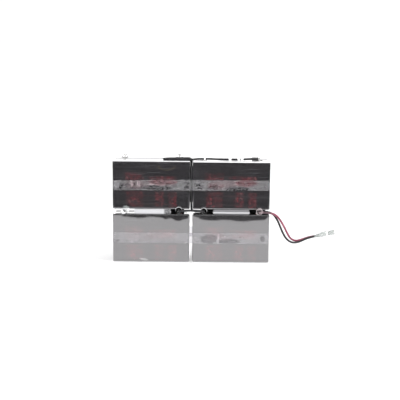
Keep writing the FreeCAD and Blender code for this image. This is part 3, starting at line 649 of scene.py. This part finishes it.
def lead_material():
    g = Net("m_plate_lead")
    n1 = g.noise(0.6, 5.0, 0.65)
    plates = g.add("TexWave", {"wave_type": "BANDS", "bands_direction": "X"},
                   {"Vector": g.mm, "Scale": 0.18, "Distortion": 0.4}).outputs[1]
    col = g.mix(plates, (0.20, 0.20, 0.22), g.mix(n1, (0.62, 0.62, 0.60), (0.74, 0.74, 0.72)))
    return g.finish(g.shader({"Base Color": col, "Roughness": g.plus(0.5, g.mul(n1, 0.3)),
                              "Normal": g.bump(g.plus(g.mul(plates, 0.3), g.mul(n1, 0.05)))}))


M_RUBBER = rubber_material()
M_TIN = tin_material("m_tinned_tab", (0.74, 0.73, 0.70))
M_CRIMP = tin_material("m_tinned_connector", (0.80, 0.80, 0.79))
M_SEAL = seal_material()
M_LEAD = lead_material()


def vinyl_material(name, body, low, high, rough=0.16, glow=0.0):
    """Clear soft vinyl: a film that gets milkier where it is seen edge on; glow is emission, a painted light."""
    g = Net(name)
    n1 = g.noise(0.35, 4.0, 0.6)
    n2 = g.noise(1.6, 3.0, 0.6)
    lw = g.add("LayerWeight", {}, {"Blend": 0.45}).outputs["Facing"]
    milk = g.plus(g.lin(lw, 0.0, 1.0, low, high), g.mul(g.sub(n1, 0.5), 0.25))
    milk = g.math("MINIMUM", g.math("MAXIMUM", milk, 0.05), 0.95)
    h = g.plus(g.mul(n1, 0.25), g.mul(n2, 0.04))
    s = g.shader({"Base Color": g.mix(n1, body, tuple(c * 0.9 for c in body)),
                  "Roughness": g.plus(rough, g.mul(n2, 0.12)), "IOR": 1.5, "Normal": g.bump(h),
                  "Emission Color": (1.0, 1.0, 1.0), "Emission Strength": glow})
    tr = g.add("BsdfTransparent", {}, {"Color": (0.95, 0.96, 0.955)}).outputs[0]
    mx = g.add("MixShader", {}, {0: milk, 1: tr, 2: s})
    g.m.blend_method = "HASHED" if hasattr(g.m, "blend_method") else None
    return g.finish(mx.outputs[0])


def boot_material():
    """Lower row's boots: clear vinyl, with painted shade, near black, on the inner walls and lower halves
    of the two middle ones, milky at the two outer ones, the left one nearly white."""
    g = Net("m_boot_vinyl")
    n1 = g.noise(0.35, 4.0, 0.6)
    n2 = g.noise(1.6, 3.0, 0.6)
    left = g.step(g.x, -110.0, -100.0, 1.0, 0.0)
    right = g.step(g.x, 100.0, 110.0)
    mid = g.inv(g.plus(left, right))
    xc = g.mixf(g.step(g.x, -1.0, 1.0), -24.3, 24.9)
    zc = g.mixf(g.step(g.x, -1.0, 1.0), 106.2, 105.2)
    dx, dz = g.sub(g.x, xc), g.sub(g.z, zc)
    # painted shade: the inner walls and the lower half of the two middle boots are made near black and opaque
    inner = g.mul(mid, g.step(g.plus(g.mul(dx, g.nx), g.mul(dz, g.nz)), -0.6, -0.1, 1.0, 0.0))
    low = g.mul(mid, g.step(dz, -1.5, 1.0, 1.0, 0.0))
    black = g.top_of(inner, low)
    lw = g.add("LayerWeight", {}, {"Blend": 0.45}).outputs["Facing"]
    milk = g.plus(g.lin(lw, 0.0, 1.0, 0.06, 0.34), g.mul(g.sub(n1, 0.5), 0.25))
    crown = g.mul(left, g.step(g.z, 108.2, 109.8))
    milk = g.mixf(left, milk, g.mixf(crown, 0.90, 0.55))
    milk = g.mixf(mid, milk, 0.80)
    milk = g.mixf(right, milk, 0.82)
    milk = g.mixf(black, milk, 0.96)
    milk = g.math("MINIMUM", g.math("MAXIMUM", milk, 0.05), 0.96)
    col = g.mix(mid, g.mix(n1, (0.80, 0.82, 0.815), (0.70, 0.72, 0.715)), g.mix(n1, (0.42, 0.425, 0.43), (0.33, 0.33, 0.335)))
    col = g.mix(right, col, g.mix(n1, (0.42, 0.375, 0.38), (0.33, 0.295, 0.30)))
    col = g.mix(left, col, g.mix(n1, (0.80, 0.80, 0.81), (0.70, 0.705, 0.71)))
    col = g.mix(crown, col, g.mix(n1, (0.22, 0.24, 0.235), (0.16, 0.175, 0.17)))
    col = g.mix(black, col, (0.010, 0.010, 0.010))
    h = g.plus(g.mul(n1, 0.25), g.mul(n2, 0.04))
    s1 = g.shader({"Base Color": col, "Roughness": g.plus(0.18, g.mul(n2, 0.12)), "IOR": 1.5,
                   "Specular IOR Level": 0.4, "Normal": g.bump(h)})
    tr = g.add("BsdfTransparent", {}, {"Color": (0.95, 0.96, 0.955)}).outputs[0]
    return g.finish(g.add("MixShader", {}, {0: milk, 1: tr, 2: s1}).outputs[0])


M_BOOT = boot_material()
# painted light: the upper row's boots glow so they wash out white like the bright lid tops
M_BOOT_UP = vinyl_material("m_boot_vinyl_top", (0.95, 0.95, 0.95), 0.90, 0.95, glow=0.55)
M_SLEEVE = vinyl_material("m_sleeve_vinyl", (0.36, 0.38, 0.37), 0.36, 0.82)


def top_cover_material():
    """Upper right block: milky cover at the inner connector, which glows as painted light,
    black shrunk tube at the outer one."""
    g = Net("m_boot_vinyl_and_tube")
    n1 = g.noise(0.35, 4.0, 0.6)
    n2 = g.noise(1.6, 3.0, 0.6)
    outer = g.step(g.x, 78.0, 80.0)
    col = g.mix(outer, g.mix(n1, (0.93, 0.93, 0.93), (0.84, 0.85, 0.845)), g.mix(n1, (0.010, 0.010, 0.011), (0.022, 0.021, 0.022)))
    rough = g.mixf(outer, g.plus(0.16, g.mul(n2, 0.12)), g.plus(0.38, g.mul(n1, 0.2)))
    rings = g.noise(1.0, 3.0, 0.6, vec=g.scaled(1.3, 0.1, 0.1))
    h = g.plus(g.mul(n1, 0.25), g.mul(n2, 0.04), g.mul(rings, outer, 0.18))
    # painted light: the milky inner cover emits light so it washes out white
    s1 = g.shader({"Base Color": col, "Roughness": rough, "IOR": 1.5, "Normal": g.bump(h),
                   "Emission Color": (1.0, 1.0, 1.0), "Emission Strength": g.mul(g.inv(outer), 0.45)})
    tr = g.add("BsdfTransparent", {}, {"Color": (0.95, 0.96, 0.955)}).outputs[0]
    lw = g.add("LayerWeight", {}, {"Blend": 0.45}).outputs["Facing"]
    milk = g.math("MAXIMUM", g.plus(g.lin(lw, 0.0, 1.0, 0.86, 0.95), g.mul(g.sub(n1, 0.5), 0.15)), outer)
    mx = g.add("MixShader", {}, {0: g.math("MINIMUM", milk, 1.0), 1: tr, 2: s1})
    return g.finish(mx.outputs[0])


M_BOOT_UR = top_cover_material()


def tape_material(name, base, patches, milky, pink, over_gap, slant=None):
    """Clear packing tape: milky where a thin layer of air is under it, dark
    where it has wetted the plastic; it is one film, so only its outer faces show."""
    g = Net(name)
    n1 = g.noise(0.10, 4.0, 0.6, colour=True)
    s1 = g.add("SeparateXYZ", {}, {0: n1})
    wob_x = g.mul(g.sub(s1.outputs[0], 0.5), 14.0)
    wob_z = g.mul(g.sub(s1.outputs[1], 0.5), 9.0)
    n_fine = g.noise(0.9, 4.0, 0.65)
    n_mid = g.noise(0.20, 3.0, 0.6)
    xs = g.plus(g.x, wob_x)
    zs = g.plus(g.z, wob_z)
    front = g.step(g.ny, -0.5, -0.3, 1.0, 0.0)

    def spots(rows):
        r = 0.0
        for px_, pz, rx, rz, k in rows:
            a = g.math("DIVIDE", g.sub(xs, px_), rx)
            b = g.math("DIVIDE", g.sub(zs, pz), rz)
            d = g.plus(g.mul(a, a), g.mul(b, b))
            r = g.math("MAXIMUM", r, g.mul(g.step(d, 0.55, 1.25, 1.0, 0.0), k))
        return g.mul(r, front)

    wet = g.mul(spots(patches), g.step(n_fine, 0.36, 0.58, 0.45, 1.0))
    white = g.mul(spots(milky), g.step(g.noise(0.62, 3.0, 0.6), 0.40, 0.60, 0.25, 1.0))
    wild = g.mul(g.inv(front), g.step(n_mid, 0.50, 0.60), g.step(n_fine, 0.35, 0.6, 0.4, 1.0), 0.8)
    wet = g.math("MAXIMUM", wet, wild)
    # faint lengthwise stretch lines and a few creases
    lines = g.noise(1.0, 3.0, 0.6, vec=g.scaled(0.012, 0.012, 1.5))
    crease = g.step(g.noise(1.0, 3.0, 0.6, vec=g.scaled(0.09, 0.09, 0.30)), 0.62, 0.70)
    milk = g.plus(base, g.mul(g.sub(lines, 0.5), 0.10), g.mul(g.sub(n_mid, 0.5), 0.12), g.mul(crease, 0.06))
    milk = g.mul(milk, g.mixf(wet, 1.0, 0.14))
    milk = g.plus(milk, g.mul(white, 0.14))
    # the cut edges are too thin to see; over the gap between the columns the film is made
    # darker and less milky, a painted shade
    cut = g.step(g.math("ABSOLUTE", g.nz), 0.4, 0.6)
    if slant is not None:
        hi = g.sub(slant[0], g.mul(g.step(g.x, -110.0, -70.0, 1.0, 0.0), 1.5))
        lo = g.plus(slant[1], g.mul(g.step(g.x, 80.0, 125.0), 1.0))
        cut = g.top_of(cut, g.step(g.sub(g.z, hi), -0.15, 0.15), g.step(g.sub(g.z, lo), -0.15, 0.15, 1.0, 0.0))
    gap = g.step(g.math("ABSOLUTE", g.x), 2.4, 3.4, over_gap, 0.0)
    milk = g.mul(milk, g.inv(cut), g.inv(gap))
    # print that shows through the glue
    red = g.mul(spots(pink), g.step(g.noise(0.25, 3.0, 0.6), 0.38, 0.60, 0.35, 1.0))
    h = g.plus(g.mul(n_mid, 0.22), g.mul(lines, 0.05), g.mul(crease, 0.10), g.mul(n_fine, 0.03))
    film = g.shader({"Base Color": g.mix(red, (0.80, 0.79, 0.81), (0.76, 0.36, 0.40)), "Roughness": 0.32, "IOR": 1.48,
                     "Specular IOR Level": 0.35, "Normal": g.bump(h)})
    tone = g.mix(gap, (0.86, 0.855, 0.865), (0.72, 0.71, 0.73))
    clear = g.add("BsdfTransparent", {}, {"Color": g.mix(cut, tone, (1.0, 1.0, 1.0))}).outputs[0]
    lay = g.add("MixShader", {}, {0: milk, 1: clear, 2: film}).outputs[0]
    thru = g.add("BsdfTransparent", {}, {"Color": (1, 1, 1)}).outputs[0]
    both = g.add("MixShader", {}, {0: g.back, 1: lay, 2: thru})
    return g.finish(both.outputs[0])


def px(x, y, rx, ry, k=1.0):
    """A patch given as it lies on the front plane of the pack, 2.02 mm a step."""
    return ((x - 191.4) * 1.987, (261.3 - y) * 2.021, rx * 1.987, ry * 2.021, k)


M_TAPE_UP = tape_material("m_tape_upper", 0.104, [
    px(158, 187.4, 15.0, 2.8, 0.8), px(122.0, 186.2, 2.4, 3.2, 0.85), px(128.0, 185.6, 2.0, 2.6, 0.6),
    px(136.0, 184.2, 1.6, 2.6, 0.7), px(187.0, 182.6, 3.0, 1.1, 0.85), px(187.0, 187.0, 3.2, 1.7, 0.9),
    px(134.0, 186.5, 12.0, 4.0, 0.35), px(163.0, 182.0, 14.0, 2.6, 0.35),
    px(198.5, 184.4, 2.6, 1.4, 0.8), px(200.0, 187.2, 2.6, 1.4, 0.8), px(213.5, 186.6, 5.5, 2.8, 0.55),
    px(237.0, 188.4, 12.0, 2.9, 0.88), px(239.0, 182.2, 2.2, 1.2, 0.5), px(264.0, 184.5, 1.6, 3.0, 0.4),
    px(246.0, 182.0, 11.0, 2.6, 0.28)],
    [px(117.6, 184.5, 3.0, 4.4, 0.65), px(132.0, 184.0, 1.8, 3.4, 1.0), px(139.6, 184.0, 2.0, 3.2, 0.9),
     px(152.0, 184.2, 2.4, 1.6, 0.7), px(163.0, 185.0, 2.6, 1.6, 0.6), px(181.0, 185.0, 5.0, 4.4, 0.08),
     px(222.0, 183.0, 4.0, 2.6, 0.2)],
    [px(163.0, 181.8, 14.5, 3.0, 1.0), px(135.0, 184.0, 10.0, 5.0, 0.45), px(245.5, 182.6, 12.0, 3.4, 1.0),
     px(216.0, 184.6, 9.0, 4.6, 0.55), px(226.0, 183.0, 18.0, 3.0, 0.30)], 0.15,
    (BASE_UP + 58.7, BASE_UP + 37.7))
M_TAPE_LO = tape_material("m_tape_lower", 0.116, [
    px(209.5, 237.8, 8.6, 4.6, 1.0), px(229.5, 240.2, 11.5, 2.3, 0.95), px(262.2, 237.2, 3.0, 3.4, 1.0),
    px(117.0, 240.5, 3.6, 2.2, 0.6)],
    [px(131.0, 236.0, 12.0, 4.0, 0.14), px(218.3, 238.0, 1.2, 5.0, 0.8), px(180.0, 236.0, 6.0, 4.0, 0.12),
     px(248.0, 236.0, 6.0, 4.0, 0.10)],
    [px(160.0, 235.0, 16.0, 4.0, 0.22), px(134.0, 235.0, 9.0, 4.0, 0.18), px(216.0, 234.5, 9.0, 3.0, 0.40),
     px(248.0, 234.5, 9.0, 3.4, 0.35)], 1.0)


def foam_material(name, light, dark, banded=False, middle_band=(0.38, 0.38, 0.39)):
    g = Net(name)
    cells = g.voro(1.1)
    cells2 = g.voro(2.6)
    n1 = g.noise(0.18, 3.0, 0.6)
    col = g.mix(g.plus(g.mul(n1, 0.5), g.mul(cells, 0.45)), light, dark)
    if banded:
        # a lighter band along the middle of its height
        zc = g.plus(g.z, g.mul(g.sub(g.noise(0.05, 2.0), 0.5), 1.2))
        core = g.band(zc, BLOCK_H + 3.1, BLOCK_H + 5.9, 0.5)
        col = g.mix(core, col, middle_band)
    h = g.plus(g.mul(cells, 0.16), g.mul(cells2, 0.05), g.mul(n1, 0.4))
    if name == "m_foam_white":
        # the right end is wrinkled, darker and mottled along its folds
        end = g.step(g.x, -55.0, -50.5)
        folds = g.noise(1.0, 2.0, 0.5, vec=g.scaled(0.42, 0.1, 0.30))
        fold = g.step(folds, 0.42, 0.58)
        col = g.mix(end, col, g.mix(fold, (0.045, 0.045, 0.047), (0.170, 0.170, 0.175)))
        h = g.plus(h, g.mul(folds, end, 2.0))
    if name in ("m_foam_white", "m_foam_grey"):
        # painted shadow line: a dark band along the lower edge, where it sits on the lid
        grime_and_shade = g.step(g.plus(g.z, g.mul(g.sub(n1, 0.5), 0.6)), BLOCK_H + 1.0, BLOCK_H + 2.1, 0.85, 0.0)
        col = g.mix(grime_and_shade, col, (0.022, 0.022, 0.023))
    return g.finish(g.shader({"Base Color": col, "Roughness": g.plus(0.72, g.mul(cells, 0.2)),
                              "Specular IOR Level": 0.25, "Subsurface Weight": 0.0,
                              "Normal": g.bump(h)}))


M_FOAM_W = foam_material("m_foam_white", (0.39, 0.39, 0.405), (0.31, 0.31, 0.32))
M_FOAM_G = foam_material("m_foam_grey", (0.140, 0.138, 0.145), (0.096, 0.096, 0.100), banded=True,
                         middle_band=(0.33, 0.33, 0.34))
M_FOAM_B = foam_material("m_foam_black", (0.050, 0.050, 0.052), (0.022, 0.022, 0.023))
M_FOAM_C = foam_material("m_foam_middle", (0.20, 0.20, 0.205), (0.11, 0.11, 0.113))
M_FOAM_D = foam_material("m_foam_dark", (0.022, 0.022, 0.023), (0.010, 0.010, 0.011))


def foam_bar(name, node, mat, front_bulge, end_bulge, side_bulge, seed, axis="x"):
    """A squeezed foam piece in its node's box: flat where it is held, crowned
    and a little wrinkled on its free faces."""
    lo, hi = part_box(node)
    size = hi - lo
    n = [max(2, min(120, int(round(s * 1000 / 1.3)))) for s in size]
    bm = bmesh.new()
    grid = {}

    def vert(i, j, k):
        key = (i, j, k)
        if key not in grid:
            a, b, c = i / n[0], j / n[1], k / n[2]
            p = Vector((lo.x + a * size.x, lo.y + b * size.y, lo.z + c * size.z))
            tz = 2 * c - 1
            if axis == "x":          # held from above and below
                crown = 1 - abs(tz) ** 2.2
                fy = (max(0.0, 1 - b * size.y * 1000 / 3.0) - max(0.0, 1 - (1 - b) * size.y * 1000 / 3.0))
                p.y += MM * fy * (front_bulge * (1 - crown))
                fx = (max(0.0, 1 - a * size.x * 1000 / 3.0) - max(0.0, 1 - (1 - a) * size.x * 1000 / 3.0))
                p.x += MM * fx * (end_bulge * (1 - crown))
                w = noise.noise(Vector((p.x * 120 + seed, p.z * 260, seed)))
                p.y += MM * fy * 0.35 * (w + 0.4) * crown + 0.0
            else:                    # held from left and right
                tx = 2 * a - 1
                crown = 1 - abs(tx) ** 2.2
                fy = (max(0.0, 1 - b * size.y * 1000 / 3.0) - max(0.0, 1 - (1 - b) * size.y * 1000 / 3.0))
                fz = (max(0.0, 1 - c * size.z * 1000 / 3.0) - max(0.0, 1 - (1 - c) * size.z * 1000 / 3.0))
                p.y += MM * fy * (front_bulge * (1 - crown))
                p.z += MM * fz * (end_bulge * (1 - crown))
            grid[key] = bm.verts.new(p)
        return grid[key]

    for i in range(n[0]):
        for j in range(n[1]):
            bm.faces.new((vert(i, j, 0), vert(i, j + 1, 0), vert(i + 1, j + 1, 0), vert(i + 1, j, 0)))
            bm.faces.new((vert(i, j, n[2]), vert(i + 1, j, n[2]), vert(i + 1, j + 1, n[2]), vert(i, j + 1, n[2])))
    for i in range(n[0]):
        for k in range(n[2]):
            bm.faces.new((vert(i, 0, k), vert(i + 1, 0, k), vert(i + 1, 0, k + 1), vert(i, 0, k + 1)))
            bm.faces.new((vert(i, n[1], k), vert(i, n[1], k + 1), vert(i + 1, n[1], k + 1), vert(i + 1, n[1], k)))
    for j in range(n[1]):
        for k in range(n[2]):
            bm.faces.new((vert(0, j, k), vert(0, j, k + 1), vert(0, j + 1, k + 1), vert(0, j + 1, k)))
            bm.faces.new((vert(n[0], j, k), vert(n[0], j + 1, k), vert(n[0], j + 1, k + 1), vert(n[0], j, k + 1)))
    bmesh.ops.recalc_face_normals(bm, faces=bm.faces)
    me = bpy.data.meshes.new(name)
    bm.to_mesh(me)
    bm.free()
    ob = bpy.data.objects.new(name, me)
    coll.objects.link(ob)
    dress(ob, mat)
    shade_smooth(ob, 50)
    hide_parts(node)
    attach(ob, "root")
    return ob


foam_bar("foam_left_front", "spacer_left_front", M_FOAM_W, 1.6, 1.5, 0, 1.0)
foam_bar("foam_left_back", "spacer_left_back", M_FOAM_B, 1.4, 1.5, 0, 2.0)
foam_bar("foam_right_front", "spacer_right_front", M_FOAM_G, 1.2, 2.4, 0, 3.0)
foam_bar("foam_right_back", "spacer_right_back", M_FOAM_D, 1.2, 2.0, 0, 4.0)
foam_bar("foam_centre", "centre_pad", M_FOAM_C, 1.6, 1.6, 0, 5.0, axis="z")


def white_tape_material(name, base):
    g = Net(name)
    n1 = g.noise(0.5, 4.0, 0.6)
    n2 = g.noise(3.0, 3.0, 0.6)
    col = g.mix(g.step(n1, 0.35, 0.75), base, tuple(c * 0.82 for c in base))
    return g.finish(g.shader({"Base Color": col, "Roughness": g.plus(0.30, g.mul(n1, 0.2)),
                              "Normal": g.bump(g.plus(g.mul(n1, 0.08), g.mul(n2, 0.01)))}))


M_TABS = white_tape_material("m_tape_tabs", (0.88, 0.88, 0.885))
M_WRAP = white_tape_material("m_wire_wrap", (0.86, 0.86, 0.86))

for n, ob in NODES.items():
    if ob.hide_render:
        dress(ob, {"lead_red": M_RED, "lead_red_inner": M_RED}.get(
            n, M_BLACK if n.startswith(("lead", "jumper")) else
            M_FOAM_B if n in ("centre_pad", "spacer_left_back") else M_FOAM_D if n == "spacer_right_back" else
            M_FOAM_G if n == "spacer_right_front" else M_FOAM_W))
        continue
    if n.endswith("_vent_cover"):
        dress(ob, M_COVER)
    elif n.endswith("_valves"):
        dress(ob, M_RUBBER)
    elif n.endswith(("_terminal_negative", "_terminal_positive")):
        dress(ob, M_TIN)
    elif n.endswith("_terminal_seals"):
        dress(ob, M_SEAL)
    elif n.endswith("_plate_packs"):
        dress(ob, M_LEAD)
    elif n.endswith("_connectors") or n.startswith("end_connector"):
        dress(ob, M_CRIMP)
    elif n.endswith("_connector_boots"):
        dress(ob, M_BOOT_UR if n.startswith("upper_right") else M_BOOT_UP if n.startswith("upper") else M_BOOT)
    elif n.startswith("end_sleeve"):
        dress(ob, M_SLEEVE)
    elif n == "tape_upper":
        dress(ob, M_TAPE_UP)
    elif n == "tape_lower":
        dress(ob, M_TAPE_LO)
    elif n == "wire_tape_tabs":
        dress(ob, M_TABS)
    elif n == "wire_wrap":
        dress(ob, M_WRAP)
